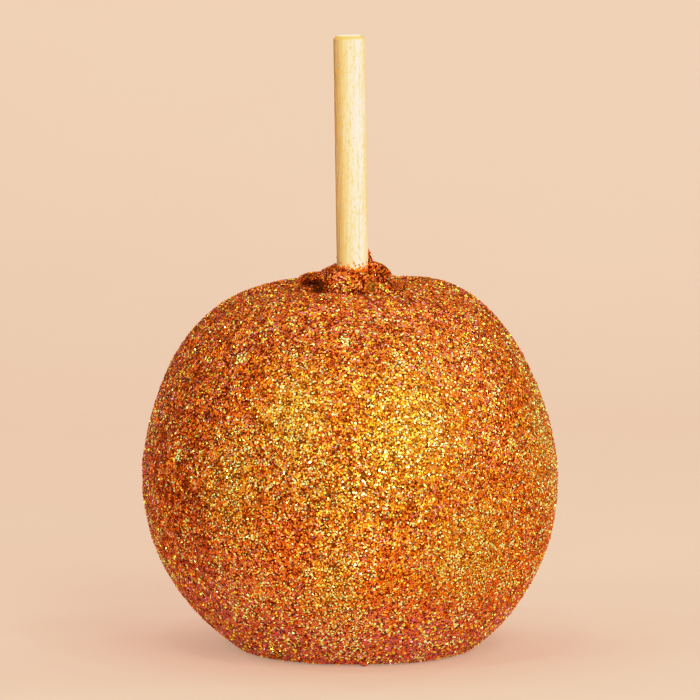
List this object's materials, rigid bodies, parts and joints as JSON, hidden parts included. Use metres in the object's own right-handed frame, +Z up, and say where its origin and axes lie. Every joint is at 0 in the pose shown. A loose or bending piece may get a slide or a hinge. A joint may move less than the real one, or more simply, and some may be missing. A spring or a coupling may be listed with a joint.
{
  "type": "caramel apple",
  "caption": "Whole caramel-dipped apple rolled in fine glitter, with a stem dimple, a lumpy caramel collar and a flat foot, standing upright with a plain wooden dowel stick in its top.",
  "frame": {"origin": "centre of the flat foot, on the surface it stands on", "axes": "+Z up, through the stick; -Y is the front; +X is the side where the caramel climbs the stick"},
  "size_m": [0.0837, 0.083, 0.1233],
  "materials": {
    "glitter_caramel": null,
    "stick_wood": "plain sanded pale hardwood"
  },
  "bodies": {
    "root": {"coated_apple": "glitter_caramel", "stick": "stick_wood"}
  },
  "joints": []
}
